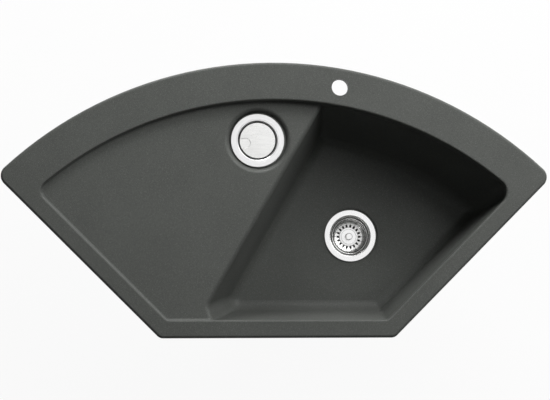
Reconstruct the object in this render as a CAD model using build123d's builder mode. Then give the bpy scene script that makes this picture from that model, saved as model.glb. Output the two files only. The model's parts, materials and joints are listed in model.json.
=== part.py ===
"""Inset corner kitchen sink: moulded body with drainer and bowl, wastes, pipework and fixing clips.

Millimetres. +X runs along the front of the sink to the right, +Y to the corner of the room, +Z up.
The origin is on the tap hole's axis, in the plane of the worktop that the rim rests on.
The plan is struck from the corner point: the point that the rear arc is centred on.
"""
from build123d import *
import os
from math import atan2, cos, degrees, radians, sin, sqrt, tan

os.makedirs("parts", exist_ok=True)

# ---------------------------------------------------------------- plan of the body
rear_radius = 822.0          # corner point to the rear arc
side_setback = 5.0           # corner point to the line of each side edge
front_reach = 250.0          # corner point to the front edge
tip_radius = 23.0            # the two acute tips, where the sides meet the arc
nose_radius = 17.0           # the two corners of the front edge
rear_rim = 79.0              # rim between the rear arc and the recess
side_rim = 36.5
front_rim = 37.0
drainer_tip_radius = 22.0    # corner of the recess over the drainer
bowl_tip_radius = 28.0       # corner of the recess over the bowl
recess_nose_radius = 13.0

# ---------------------------------------------------------------- heights of the body
rim_height = 9.0             # top of the rim above the worktop
rim_edge_radius = 5.5
rim_foot_radius = 1.5
rim_lip_radius = 4.0         # rounding from the rim into the recess
deck_thickness = 12.0        # rear band under the tap
drainer_depth = 8.5          # below the rim, at the drainer's far tip
drainer_fall = 0.85          # degrees, falling towards the bowl
drainer_thickness = 9.0
step_radius = 5.0            # foot of the step round the drainer
bowl_depth = 190.0           # floor below the top of the rim
wall = 8.0
floor_thickness = 11.0

# ---------------------------------------------------------------- bowl
bowl_edge_slope = 60.0       # degrees from the front edge, the slanted left side of the bowl
bowl_edge_distance = 281.6   # corner point to that side
bowl_edge_radius = 10.0      # rounding from the drainer over into the bowl
bowl_turn_edge = 35.0        # the slanted side turns towards the front this far before it
bowl_turn_front = 27.7       # and meets the front this far along it
bowl_turn_radius = 20.0
bowl_band_depth = 34.0       # straight top part of the bowl's walls, from the rim down
rear_draft = 48.0            # how far each wall comes in from top to floor
side_draft = 16.0
front_draft = 31.0
edge_draft = 38.0
bowl_corner_radius = 16.0    # corners at the floor
bowl_foot_turn = 26.0        # the same turn, at the floor
bowl_foot_radius = 12.0      # wall to floor
bowl_dish_radius = 128.0     # the floor falls to the waste inside this circle
bowl_dish_fall = 3.0

# ---------------------------------------------------------------- underside of the body
skirt_inset = 14.0           # rim edge to the skirt
skirt_depth = 26.0           # below the worktop's surface
skirt_tip_radius = 14.0
rib_thickness = 6.0
rib_clearance = 4.0          # the ribs stop short of the skirt's foot
rib_angles = (-38.0, -30.0, -22.0, -14.0)
rib_arc_radius = 590.0
deck_rib_angles = (-41.0, -30.0, -21.0, -4.0, 3.0, 16.5, 28.0, 41.0)
tap_boss_radius = 34.0
tap_boss_depth = 8.0         # below the worktop's surface
tap_nut_radius = 23.0        # room for the tap's nut under the boss
tap_hole_radius = 17.5
tap_angle = 9.82             # degrees to the right of the centre line

# ---------------------------------------------------------------- wastes
bowl_waste_front = 189.0     # front of the recess to the middle of the bowl's waste
bowl_waste_side = 170.6      # right side of the recess to the same point
drainer_waste_gap = 14.6     # rear arc of the recess to the rim of the drainer's round recess
drainer_edge_gap = 15.0      # bowl's slanted side to the same rim
bowl_seat_radius = 60.0      # recess in the bowl's floor that the flange lies in
bowl_seat_depth = 3.0
drainer_seat_radius = 66.5   # round recess in the drainer
drainer_seat_depth = 7.85    # below the drainer's surface, at the waste's axis
drainer_seat_edge_radius = 3.0
seat_thickness = 10.0        # body under each flange
seat_pad_radius = 76.0
waste_hole_radius = 45.0
flange_radius = 55.7
seal_thickness = 2.0
body_seal_thickness = 3.0
sheet = 1.2                  # pressed stainless steel
flange_edge_gap = 0.7        # turned-down edge of the flange above its seat
bowl_cup_radius = 42.5       # opening of each cup, inside
drainer_cup_radius = 40.9
cup_ledge_depth = 9.0        # flange top down to the ledge that carries basket or lid
cup_ledge_radius = 37.4
cup_depth = 39.0             # flange top down to the cup's outlet
cup_cone_height = 6.0
cup_outlet_radius = 24.0
cup_outlet_length = 5.2
flange_step_radius = 44.2    # faint pressed step in the flange
flange_step = 0.3
spider_radius = 8.0
spider_arm_width = 5.0
spider_arms = 3
screw_radius = 4.0
screw_head_radius = 7.0
screw_head_height = 3.0
screw_slot_width = 1.6
screw_length = 18.0
part_gap = 0.3               # loose pieces to what they sit on
fit_gap = 0.05               # turning and sliding fits, on the radius

# ---------------------------------------------------------------- pipework
pipe_radius = 20.0
pipe_insertion = 18.0        # pipe into its socket
pipe_wall = 2.0
socket_gap = 0.4             # pipe in its socket
socket_wall = 3.4
socket_length = 20.0
waste_body_radius = 49.0
waste_body_wall = 3.0
waste_body_flange = 55.0
waste_body_flange_thickness = 4.0
waste_body_depth = 33.0      # seal down to the conical bottom
waste_body_cone_height = 6.0
waste_body_boss_radius = 7.5
waste_body_boss_height = 8.0
waste_body_web = 3.0
elbow_bend_radius = 32.0
tee_hub_half = 26.0          # tee's side axis to the ends of its hub
tee_hub_drop = 14.0          # bowl waste's mouth down to the tee's hub
tee_side_reach = 44.0        # tee's axis to the mouth of its side socket
outlet_length = 45.0         # plain spigot for the trap
nut_radius = 30.0
nut_grip_height = 2.0
nut_grip_width = 4.0
nut_grips = 12
nut_overlap = 14.0           # nut over the socket
nut_overhang = 8.0           # nut beyond the socket's mouth
nut_lip = 4.0
slip_seal_length = 3.6

# ---------------------------------------------------------------- strainer basket and lid
basket_lip_radius = 39.3
basket_wall_radius = 35.6
basket_floor_radius = 32.0
basket_depth = 20.0          # lip down to the floor's outer edge
basket_floor_fall = 4.0
basket_slots = 18
slot_inner_radius = 21.2
slot_outer_radius = 30.6
slot_inner_width = 3.8
slot_outer_width = 1.3
cap_radius = 20.2
cap_thickness = 2.6
knob_radius = 7.4
knob_height = 9.0
cap_groove_radius = 16.2
cap_groove = 0.8
knob_neck_radius = 4.6
knob_neck_height = 2.7       # cap to the neck
knob_head_height = 3.1
knob_edge = 1.1
stem_radius = 3.0
basket_sheet = 1.0
plug_radius = 29.0
plug_thickness = 2.3
plug_lip = 1.6
retainer_radius = 6.5
retainer_thickness = 1.0
lid_radius = 37.1
lid_thickness = 1.6
lid_drop = 1.2               # lid's top below the flange's top
lid_edge = 0.5
lid_notch_radius = 10.8
lid_notch_reach = 25.8       # lid's axis to the middle of the finger notch's round end
lid_notch_depth = 1.0
lid_notch_angle = 191.7      # degrees round from +X
lid_skirt = 4.0
lid_crown = 0.5
lid_foot_count = 3
lid_foot_width = 8.0
lid_foot_height = 3.0
lid_seat_height = 1.5        # flat ring that the lid's support rests on
lid_ring_radius = 32.5

# ---------------------------------------------------------------- sealing strip under the rim
strip_inset = 3.0
strip_width = 7.0
strip_thickness = 1.5
strip_gap = 0.1

# ---------------------------------------------------------------- fixing clips
clip_inset = 22.0            # rim edge to the clip's screw
clip_boss_radius = 8.0
insert_radius = 4.6
insert_length = 14.0
clip_screw_radius = 3.0
clip_screw_length = 46.0
clip_head_radius = 5.5
clip_head_height = 3.6
clip_hub_radius = 6.0
clip_hub_height = 8.0
clip_arm_width = 11.0
clip_arm_thickness = 3.0
clip_arm_reach = 34.0        # screw to the tip of the arm
clip_tooth_height = 6.0
clip_nut_height = 4.0
arc_clip_angles = (-35.0, -12.0, 22.0, 37.0)   # along the rear arc, from the centre line
side_clip_share = 0.5        # along each side, from front corner to tip
front_clip_x = 130.0         # either side of the centre line

# ---------------------------------------------------------------- worked out from the above
recess_radius = rear_radius - rear_rim
recess_setback = side_setback + side_rim
recess_reach = front_reach + front_rim
tap_radius = rear_radius - (rear_rim + 1.0) / 2
tap_x = tap_radius * sin(radians(tap_angle))
tap_y = tap_radius * cos(radians(tap_angle))
floor_z = rim_height - bowl_depth
band_z = rim_height - bowl_band_depth
bowl_seat_z = floor_z - bowl_dish_fall - bowl_seat_depth
drainer_tip_x = -(sqrt(recess_radius**2 - recess_setback**2) + recess_setback) / sqrt(2)
bowl_edge_normal = (sin(radians(bowl_edge_slope)), -cos(radians(bowl_edge_slope)))
bowl_edge_along = (cos(radians(bowl_edge_slope)), sin(radians(bowl_edge_slope)))


def plan(z=0.0):
    """Horizontal plane at height z, with the corner point as its origin."""
    return Plane((-tap_x, -tap_y, z))


def spot(x, y, z=0.0):
    """Horizontal plane with its origin at x, y from the corner point."""
    return Plane((x - tap_x, y - tap_y, z))


def drainer_plane(below=0.0):
    """The drainer's sloping surface, or a plane that far under it."""
    z = rim_height - drainer_depth - below
    fall = radians(drainer_fall)
    return Plane((drainer_tip_x - tap_x, -tap_y, z), z_dir=(sin(fall), 0, cos(fall)))


def tip_of(radius, setback):
    """Where the right side line meets the rear arc."""
    reach = sqrt(radius**2 - setback**2)
    return ((reach - setback) / sqrt(2), (reach + setback) / sqrt(2))


def nose_of(reach, setback):
    """Where the right side line meets the front line."""
    return (reach - setback * sqrt(2), reach)


def sector(plane, radius, setback, reach, left_tip, right_tip, nose):
    """Sketch of the corner plan: rear arc, two sides at 45 degrees and a straight front."""
    tip_x, tip_y = tip_of(radius, setback)
    nose_x, nose_y = nose_of(reach, setback)
    with BuildSketch(plane) as face:
        with BuildLine():
            Polyline((-tip_x, tip_y), (-nose_x, nose_y), (nose_x, nose_y), (tip_x, tip_y))
            ThreePointArc((tip_x, tip_y), (0, radius), (-tip_x, tip_y))
        make_face()
        corners = face.vertices().sort_by(Axis.X)
        fillet([corners[1], corners[2]], nose)
        fillet(face.vertices().sort_by(Axis.X)[0], left_tip)
        fillet(face.vertices().sort_by(Axis.X)[-1], right_tip)
    return face.sketch


def edge_meets_front(distance, reach):
    """Where the bowl's slanted side meets the front line."""
    x = (reach * cos(radians(bowl_edge_slope)) - distance) / sin(radians(bowl_edge_slope))
    return (x, reach)


def edge_meets_arc(distance, radius):
    """Where the bowl's slanted side meets the rear arc."""
    run = sqrt(radius**2 - distance**2)
    return tuple(run * a - distance * n for a, n in zip(bowl_edge_along, bowl_edge_normal))


def turn_points(distance, reach, along_edge, along_front):
    """Where the bowl's slanted side turns off, and where it then meets the front line."""
    x, y = edge_meets_front(distance, reach)
    run_x, run_y = bowl_edge_along
    return (x + along_edge * run_x, y + along_edge * run_y), (x + along_front, y)


def bowl_outline(z, grow=0.0, drafted=False, turn=(0.0, 0.0), corners=(0.0, 0.0, 0.0, 0.0, 0.0)):
    """Sketch of the bowl's plan at height z, grown outward, at the top or at the floor."""
    share = 1.0 if drafted else 0.0
    radius = recess_radius - rear_draft * share + grow
    setback = recess_setback + side_draft * share - grow
    reach = recess_reach + front_draft * share - grow
    distance = bowl_edge_distance - edge_draft * share + grow
    turn_start, turn_end = turn_points(distance, reach, *turn)
    rear_left = edge_meets_arc(distance, radius)
    tip = tip_of(radius, setback)
    nose = nose_of(reach, setback)
    middle = radians((degrees(atan2(tip[0], tip[1])) + degrees(atan2(rear_left[0], rear_left[1]))) / 2)
    with BuildSketch(plan(z)) as face:
        with BuildLine():
            Polyline(rear_left, turn_start, turn_end, nose, tip)
            ThreePointArc(tip, (radius * sin(middle), radius * cos(middle)), rear_left)
        make_face()
        for point, size in zip((rear_left, turn_start, turn_end, nose, tip), corners):
            fillet(face.vertices().sort_by_distance(Vector(*point))[0], size)
    return face.sketch


def recess_outline(z):
    """Sketch of the whole recess at height z: drainer and bowl together."""
    return sector(plan(z), recess_radius, recess_setback, recess_reach,
                  drainer_tip_radius, bowl_tip_radius, recess_nose_radius)


def drainer_slab():
    """Everything under the drainer's surface, left of the bowl's slanted side."""
    turn_start, turn_end = turn_points(bowl_edge_distance, recess_reach, bowl_turn_edge, bowl_turn_front)
    lean = (turn_end[0] - turn_start[0]) / (turn_start[1] - turn_end[1])
    foot = (turn_end[0] + lean * turn_end[1], 0.0)
    head = edge_meets_front(bowl_edge_distance, rear_radius)
    with BuildPart() as slab:
        with BuildSketch(plan(band_z)) as face:
            Polygon(foot, turn_start, head, (-rear_radius, rear_radius), (-rear_radius, 0), align=None)
            fillet(face.vertices().sort_by_distance(Vector(*turn_start))[0], bowl_turn_radius)
        extrude(amount=bowl_band_depth)
        split(bisect_by=drainer_plane(), keep=Keep.BOTTOM)
    return slab.part


def on_recess_wall(edge):
    """True for edges that lie on the recess's front wall or rear arc."""
    middle = edge @ 0.5
    x = middle.X + tap_x
    y = middle.Y + tap_y
    return abs(y - recess_reach) < fit_gap or abs(sqrt(x * x + y * y) - recess_radius) < fit_gap


def right_of_edge(edge):
    """How far an edge's middle lies from the bowl's slanted side, positive over the bowl."""
    middle = edge @ 0.5
    across_x, across_y = bowl_edge_normal
    return (middle.X + tap_x) * across_x + (middle.Y + tap_y) * across_y + bowl_edge_distance


def recess_edges(space):
    """Edges between the straight band's foot and the rim, without the outline's own uprights."""
    low = space.edges().filter_by_position(Axis.Z, band_z + fit_gap, rim_height)
    return low - low.filter_by(lambda edge: edge.length > bowl_band_depth).filter_by(Axis.Z)


def over_edges(space):
    """Edge of the drainer over the bowl, with its turn at the front."""
    inner = recess_edges(space).filter_by(lambda edge: not on_recess_wall(edge))
    return inner.filter_by(Axis.Z, reverse=True).filter_by(lambda edge: right_of_edge(edge) > -fit_gap)


def foot_edges(space):
    """Foot of the step round the drainer, and the two corners it turns down into the bowl."""
    outside = -2 * bowl_edge_radius
    return recess_edges(space).filter_by(lambda edge: on_recess_wall(edge) or right_of_edge(edge) < outside)


def recess_cutter():
    """Space above the drainer together with the straight top part of the bowl."""
    with BuildPart() as space:
        add(recess_outline(band_z))
        extrude(amount=bowl_band_depth + step_radius * 4)
        add(drainer_slab(), mode=Mode.SUBTRACT)
        fillet(over_edges(space), bowl_edge_radius)
        fillet(foot_edges(space), step_radius)
    return space.part


def bowl_cutter():
    """Inside of the bowl below its straight band."""
    top_turn = (bowl_turn_edge, bowl_turn_front)
    top_corners = (step_radius, bowl_turn_radius, step_radius, recess_nose_radius, bowl_tip_radius)
    foot_turn = (bowl_foot_turn, bowl_foot_turn)
    with BuildPart() as space:
        add(bowl_outline(floor_z, 0.0, True, foot_turn, (bowl_corner_radius,) * 5))
        add(bowl_outline(band_z, 0.0, False, top_turn, top_corners))
        loft(ruled=True)
        fillet(space.faces().sort_by(Axis.Z)[0].edges(), bowl_foot_radius)
    return space.part


def bowl_shell():
    """Outside of the bowl, up to the rim."""
    foot_turn = (bowl_foot_turn + 2 * wall, bowl_foot_turn + 2 * wall)
    with BuildPart() as shell:
        add(bowl_outline(floor_z - floor_thickness, wall, True, foot_turn, (bowl_corner_radius + wall,) * 5))
        add(shell_outline(band_z))
        loft(ruled=True)
        fillet(shell.faces().sort_by(Axis.Z)[0].edges(), bowl_foot_radius + wall)
        add(shell_outline(band_z))
        extrude(amount=-band_z + rim_foot_radius)
    return shell.part


def shell_outline(z):
    """Sketch round the top part of the bowl, one wall outside it."""
    inside = (step_radius, bowl_turn_radius, step_radius, recess_nose_radius, bowl_tip_radius)
    corners = [radius + wall for radius in inside]
    return bowl_outline(z, wall, False, (bowl_turn_edge, bowl_turn_front), corners)


def inset_outline(z, inset, tip):
    """Sketch of the rim's outline at height z, moved in by the same distance all round."""
    return sector(plan(z), rear_radius - inset, side_setback + inset, front_reach + inset, tip, tip, tip)


def left_of_bowl(z, clear):
    """Sketch of everything left of the bowl's slanted side, clear of it by a distance."""
    foot = edge_meets_front(bowl_edge_distance + clear, 0.0)
    head = edge_meets_front(bowl_edge_distance + clear, rear_radius)
    with BuildSketch(plan(z)) as face:
        Polygon(foot, head, (-rear_radius, rear_radius), (-rear_radius, 0), align=None)
    return face.sketch


def drainer_hollow():
    """Space under the drainer's slab, inside the skirt."""
    inset = skirt_inset + wall
    height = skirt_depth + rim_height
    with BuildPart() as space:
        add(sector(plan(-skirt_depth), recess_radius + wall, side_setback + inset, front_reach + inset,
                   skirt_tip_radius, skirt_tip_radius, skirt_tip_radius))
        extrude(amount=height)
        extrude(left_of_bowl(-skirt_depth, wall), amount=height, mode=Mode.INTERSECT)
        split(bisect_by=drainer_plane(drainer_thickness), keep=Keep.BOTTOM)
    return space.part


def deck_hollow():
    """Channel under the rear band, between the skirt and the recess."""
    with BuildPart() as space:
        add(inset_outline(-skirt_depth, skirt_inset + wall, skirt_tip_radius))
        extrude(amount=skirt_depth - (deck_thickness - rim_height))
        with BuildSketch(plan(-skirt_depth)):
            Circle(recess_radius + wall)
        extrude(amount=skirt_depth, mode=Mode.SUBTRACT)
    return space.part


def drainer_ribs():
    """Stiffening ribs under the drainer: radial ones and one arc."""
    with BuildPart() as ribs:
        with BuildSketch(plan(rib_clearance - skirt_depth)):
            for angle in rib_angles:
                with Locations(Location((0, 0, 0), (0, 0, 90 - angle))):
                    with Locations((rear_radius / 2, 0)):
                        Rectangle(rear_radius, rib_thickness)
        extrude(amount=skirt_depth)
        with BuildSketch(plan(rib_clearance - skirt_depth)):
            Circle(rib_arc_radius + rib_thickness / 2)
            Circle(rib_arc_radius - rib_thickness / 2, mode=Mode.SUBTRACT)
        extrude(amount=skirt_depth)
        add(drainer_hollow(), mode=Mode.INTERSECT)
    return ribs.part


def deck_ribs():
    """Short ribs across the channel under the rear band."""
    with BuildPart() as ribs:
        with BuildSketch(plan(rib_clearance - skirt_depth)):
            for angle in deck_rib_angles:
                with Locations(Location((0, 0, 0), (0, 0, 90 - angle))):
                    with Locations((rear_radius / 2, 0)):
                        Rectangle(rear_radius, rib_thickness)
        extrude(amount=skirt_depth)
        add(deck_hollow(), mode=Mode.INTERSECT)
    return ribs.part


def clip_spots():
    """x, y from the corner point and outward direction in degrees, for each fixing clip."""
    spots = []
    radius = rear_radius - clip_inset
    for angle in arc_clip_angles:
        spots.append((radius * sin(radians(angle)), radius * cos(radians(angle)), 90.0 - angle))
    tip = tip_of(radius, side_setback + clip_inset)
    nose = nose_of(front_reach + clip_inset, side_setback + clip_inset)
    x = nose[0] + (tip[0] - nose[0]) * side_clip_share
    y = nose[1] + (tip[1] - nose[1]) * side_clip_share
    spots.append((x, y, -45.0))
    spots.append((-x, y, -135.0))
    spots.append((front_clip_x, front_reach + clip_inset, -90.0))
    spots.append((-front_clip_x, front_reach + clip_inset, -90.0))
    return spots


def strip_ring(clearance):
    """Ring of the sealing strip under the rim, or with no clearance the groove it lies in."""
    tip = nose_radius
    with BuildPart() as ring:
        add(inset_outline(0, strip_inset + clearance, tip))
        extrude(amount=strip_thickness)
        add(inset_outline(0, strip_inset + strip_width - clearance, tip))
        extrude(amount=strip_thickness, mode=Mode.SUBTRACT)
    return ring.part


def is_seat_edge(edge):
    """True for the rims of the round recess in the drainer, top and bottom."""
    middle = edge.center(CenterOf.BOUNDING_BOX)
    off_x = middle.X - drainer_waste.origin.X
    off_y = middle.Y - drainer_waste.origin.Y
    wide = edge.bounding_box().size.X
    return abs(off_x) < 1 and abs(off_y) < 1 and abs(wide - 2 * drainer_seat_radius) < 1


bowl_waste_y = recess_reach + bowl_waste_front
bowl_waste_x = bowl_waste_y - (recess_setback + bowl_waste_side) * sqrt(2)
drainer_waste_x, drainer_waste_y = edge_meets_arc(
    bowl_edge_distance + drainer_edge_gap + drainer_seat_radius,
    recess_radius - drainer_waste_gap - drainer_seat_radius,
)
drainer_waste_fall = (drainer_waste_x - drainer_tip_x) * tan(radians(drainer_fall))
drainer_seat_z = rim_height - drainer_depth - drainer_waste_fall - drainer_seat_depth
bowl_waste = spot(bowl_waste_x, bowl_waste_y)
drainer_waste = spot(drainer_waste_x, drainer_waste_y)

# ---------------------------------------------------------------- the moulded body
with BuildPart() as sink_body:
    # rim plate, rounded over at its outer edge
    add(sector(plan(), rear_radius, side_setback, front_reach, tip_radius, tip_radius, nose_radius))
    extrude(amount=rim_height)
    fillet(sink_body.edges().group_by(Axis.Z)[-1], rim_edge_radius)
    fillet(sink_body.edges().group_by(Axis.Z)[0], rim_foot_radius)
    # skirt block that drops into the worktop's cut-out, hollowed and ribbed underneath
    add(inset_outline(-skirt_depth, skirt_inset, skirt_tip_radius))
    extrude(amount=skirt_depth)
    add(drainer_hollow(), mode=Mode.SUBTRACT)
    add(deck_hollow(), mode=Mode.SUBTRACT)
    add(drainer_ribs())
    add(deck_ribs())
    # tap boss, and a pad under each waste
    with BuildSketch(Plane.XY.offset(-tap_boss_depth)):
        Circle(tap_boss_radius)
    extrude(amount=tap_boss_depth)
    with BuildSketch(drainer_waste.offset(drainer_seat_z - seat_thickness)):
        Circle(seat_pad_radius)
    extrude(amount=seat_thickness)
    add(bowl_shell())
    with BuildSketch(bowl_waste.offset(bowl_seat_z - seat_thickness)):
        Circle(seat_pad_radius)
    extrude(amount=seat_thickness)
    # a boss for each fixing clip
    for x, y, outward in clip_spots():
        with BuildSketch(spot(x, y, -skirt_depth)):
            Circle(clip_boss_radius)
        extrude(amount=skirt_depth)
    # recess and bowl
    add(recess_cutter(), mode=Mode.SUBTRACT)
    add(bowl_cutter(), mode=Mode.SUBTRACT)
    top = sink_body.faces().filter_by(Axis.Z).sort_by(Axis.Z)[-1]
    fillet(top.inner_wires()[0].edges(), rim_lip_radius)

    # sloping dish round the bowl's waste, seats for both flanges, and the waste holes
    with BuildSketch(bowl_waste.offset(floor_z)):
        Circle(bowl_dish_radius)
    with BuildSketch(bowl_waste.offset(floor_z - bowl_dish_fall)):
        Circle(bowl_seat_radius)
    loft(mode=Mode.SUBTRACT)
    with BuildSketch(bowl_waste.offset(bowl_seat_z)):
        Circle(bowl_seat_radius)
    extrude(amount=bowl_seat_depth + bowl_dish_fall, mode=Mode.SUBTRACT)
    with BuildSketch(drainer_waste.offset(drainer_seat_z)):
        Circle(drainer_seat_radius)
    extrude(amount=rim_height - drainer_seat_z, mode=Mode.SUBTRACT)
    seat_edges = sink_body.edges().filter_by(lambda edge: is_seat_edge(edge))
    fillet(seat_edges, drainer_seat_edge_radius)
    for waste, seat_z in ((bowl_waste, bowl_seat_z), (drainer_waste, drainer_seat_z)):
        with BuildSketch(waste.offset(seat_z - seat_thickness)):
            Circle(waste_hole_radius)
        extrude(amount=seat_thickness, mode=Mode.SUBTRACT)
    # tap hole, and room for the tap's nut inside the skirt
    with BuildSketch(Plane.XY.offset(rim_height)):
        Circle(tap_hole_radius)
    extrude(amount=-(rim_height + tap_boss_depth), mode=Mode.SUBTRACT)
    with BuildSketch(Plane.XY.offset(-skirt_depth)):
        Circle(tap_nut_radius)
    extrude(amount=skirt_depth - tap_boss_depth, mode=Mode.SUBTRACT)
    # holes for the clips' threaded inserts
    for x, y, outward in clip_spots():
        with BuildSketch(spot(x, y, -skirt_depth)):
            Circle(insert_radius)
        extrude(amount=insert_length, mode=Mode.SUBTRACT)
    add(strip_ring(0.0), mode=Mode.SUBTRACT)

sink_body.part.label = "sink_body"
export_step(sink_body.part, "parts/sink_body.step")

with BuildPart() as rim_seal:
    add(strip_ring(strip_gap))

rim_seal.part.label = "rim_seal"
export_step(rim_seal.part, "parts/rim_seal.step")


# ---------------------------------------------------------------- wastes
def upright(waste, z):
    """Vertical plane through a waste's axis, for profiles: x outward, y up from height z."""
    return Plane(waste.offset(z).origin, x_dir=(1, 0, 0), z_dir=(0, -1, 0))


def profile(waste, z, points):
    """Sketch through radius and height points, in an upright plane through a waste's axis."""
    with BuildSketch(upright(waste, z)) as face:
        with BuildLine():
            Polyline(*points, close=True)
        make_face()
    return face.sketch


def axis_of(waste):
    """Vertical axis of a waste."""
    return Axis(waste.origin, (0, 0, 1))


flange_top = seal_thickness + sheet
cup_foot = flange_top - cup_depth
hub_top = cup_foot - cup_outlet_length + sheet
body_top = -seat_thickness - body_seal_thickness
body_floor = body_top - waste_body_depth
tail_mouth = body_floor - waste_body_cone_height - socket_length
socket_radius = pipe_radius + socket_gap
socket_outer = socket_radius + socket_wall


def flange_seal(waste, seat_z):
    """Soft ring between a flange and its seat."""
    with BuildPart() as seal:
        with BuildSketch(waste.offset(seat_z)):
            Circle(flange_radius - sheet - part_gap)
            Circle(waste_hole_radius + part_gap, mode=Mode.SUBTRACT)
        extrude(amount=seal_thickness)
    return seal.part


def waste_cup(waste, seat_z, opening):
    """Pressed flange and well with a ledge, a conical bottom and a spider for the clamp screw."""
    edge = flange_radius
    ledge = flange_top - cup_ledge_depth
    cone = cup_foot + cup_cone_height
    mouth = opening + flange_top - seal_thickness
    tube = cup_foot - cup_outlet_length
    with BuildPart() as cup:
        add(profile(waste, seat_z, [
            (edge, flange_edge_gap),
            (edge, flange_top - sheet / 2),
            (edge - sheet / 2, flange_top),
            (flange_step_radius + flange_step, flange_top),
            (flange_step_radius, flange_top - flange_step),
            (mouth, flange_top - flange_step),
            (opening, seal_thickness),
            (opening, ledge),
            (cup_ledge_radius, ledge),
            (cup_ledge_radius, cone),
            (cup_outlet_radius, cup_foot),
            (cup_outlet_radius, tube),
            (cup_outlet_radius + sheet, tube),
            (cup_outlet_radius + sheet, cup_foot - sheet / 2),
            (cup_ledge_radius + sheet, cone - sheet / 2),
            (cup_ledge_radius + sheet, ledge - sheet),
            (opening + sheet, ledge - sheet),
            (opening + sheet, seal_thickness),
            (edge - sheet, seal_thickness),
            (edge - sheet, flange_edge_gap),
        ]))
        revolve(axis=axis_of(waste))
        with BuildSketch(waste.offset(seat_z + tube)):
            Circle(spider_radius)
            with PolarLocations(0, spider_arms):
                with Locations(((cup_outlet_radius + sheet / 2) / 2, 0)):
                    Rectangle(cup_outlet_radius + sheet / 2, spider_arm_width)
            Circle(screw_radius + part_gap, mode=Mode.SUBTRACT)
        extrude(amount=sheet)
    return cup.part


def body_seal(waste, seat_z):
    """Rubber ring between the underside of the sink and the waste body."""
    with BuildPart() as seal:
        with BuildSketch(waste.offset(seat_z + body_top)):
            Circle(waste_body_flange - sheet)
            Circle(waste_hole_radius + sheet, mode=Mode.SUBTRACT)
        extrude(amount=body_seal_thickness)
    return seal.part


def waste_body(waste, seat_z):
    """Moulded funnel under a waste hole: flange, conical bottom, webbed screw boss and tail socket."""
    inner = waste_body_radius - waste_body_wall
    cone_foot = body_floor - waste_body_cone_height
    boss_z = tube_foot - waste_body_boss_height
    web_reach = inner + waste_body_wall / 2
    with BuildPart() as body:
        add(profile(waste, seat_z, [
            (inner, body_top),
            (waste_body_flange, body_top),
            (waste_body_flange, body_top - waste_body_flange_thickness),
            (waste_body_radius, body_top - waste_body_flange_thickness),
            (waste_body_radius, body_floor),
            (socket_outer, cone_foot - waste_body_wall),
            (socket_outer, tail_mouth),
            (socket_radius, tail_mouth),
            (socket_radius, cone_foot),
            (inner, body_floor),
        ]))
        revolve(axis=axis_of(waste))
        with BuildSketch(waste.offset(seat_z + body_floor)):
            with PolarLocations(0, spider_arms):
                with Locations((web_reach / 2, 0)):
                    Rectangle(web_reach, waste_body_web)
        extrude(amount=tube_foot - body_floor)
        with BuildSketch(waste.offset(seat_z + boss_z)):
            Circle(waste_body_boss_radius)
        extrude(amount=waste_body_boss_height)
        with BuildSketch(waste.offset(seat_z + boss_z)):
            Circle(screw_radius + fit_gap)
        extrude(amount=waste_body_boss_height, mode=Mode.SUBTRACT)
    return body.part


def clamp_screw(waste, seat_z):
    """Slotted screw that pulls cup and waste body together."""
    with BuildPart() as screw:
        with BuildSketch(waste.offset(seat_z + hub_top)):
            Circle(screw_head_radius)
        extrude(amount=screw_head_height)
        chamfer(screw.edges().group_by(Axis.Z)[-1], sheet / 2)
        with BuildSketch(waste.offset(seat_z + hub_top)):
            Circle(screw_radius)
        extrude(amount=-screw_length)
        with BuildSketch(waste.offset(seat_z + hub_top + screw_head_height)):
            Rectangle(2 * screw_head_radius, screw_slot_width)
        extrude(amount=-screw_head_height / 2, mode=Mode.SUBTRACT)
    return screw.part


tube_foot = cup_foot - cup_outlet_length - part_gap
for name, waste, seat_z, opening in (
    ("bowl", bowl_waste, bowl_seat_z, bowl_cup_radius),
    ("drainer", drainer_waste, drainer_seat_z, drainer_cup_radius),
):
    for piece, solid in (
        ("flange_seal", flange_seal(waste, seat_z)),
        ("waste_cup", waste_cup(waste, seat_z, opening)),
        ("body_seal", body_seal(waste, seat_z)),
        ("waste_body", waste_body(waste, seat_z)),
        ("clamp_screw", clamp_screw(waste, seat_z)),
    ):
        solid.label = f"{name}_{piece}"
        export_step(solid, f"parts/{name}_{piece}.step")

# ---------------------------------------------------------------- strainer basket in the bowl's waste
lip_z = flange_top - cup_ledge_depth + part_gap
floor_edge_z = lip_z + basket_sheet - basket_depth
floor_slope = basket_floor_fall / (basket_floor_radius - stem_radius)
cap_z = floor_edge_z - (basket_floor_radius - cap_radius) * floor_slope
hub_z = floor_edge_z - basket_floor_fall
cone_slope = cup_cone_height / (cup_ledge_radius - cup_outlet_radius)
plug_foot = cup_foot + (plug_radius - cup_outlet_radius) * cone_slope + part_gap
plug_top = hub_z - basket_sheet

with BuildPart() as strainer_basket:
    add(profile(bowl_waste, bowl_seat_z, [
        (basket_lip_radius, lip_z),
        (basket_lip_radius, lip_z + basket_sheet),
        (basket_wall_radius, lip_z + basket_sheet),
        (basket_floor_radius, floor_edge_z),
        (stem_radius + fit_gap, hub_z),
        (stem_radius + fit_gap, hub_z - basket_sheet),
        (basket_floor_radius + basket_sheet, floor_edge_z - basket_sheet),
        (basket_wall_radius + basket_sheet, lip_z),
    ]))
    revolve(axis=axis_of(bowl_waste))
    with BuildSketch(bowl_waste.offset(bowl_seat_z + lip_z)):
        with PolarLocations(0, basket_slots):
            Polygon(
                (slot_inner_radius, -slot_inner_width / 2),
                (slot_outer_radius, -slot_outer_width / 2),
                (slot_outer_radius, slot_outer_width / 2),
                (slot_inner_radius, slot_inner_width / 2),
                align=None,
            )
    extrude(amount=plug_top - lip_z, mode=Mode.SUBTRACT)

strainer_basket.part.label = "strainer_basket"
export_step(strainer_basket.part, "parts/strainer_basket.step")

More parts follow.
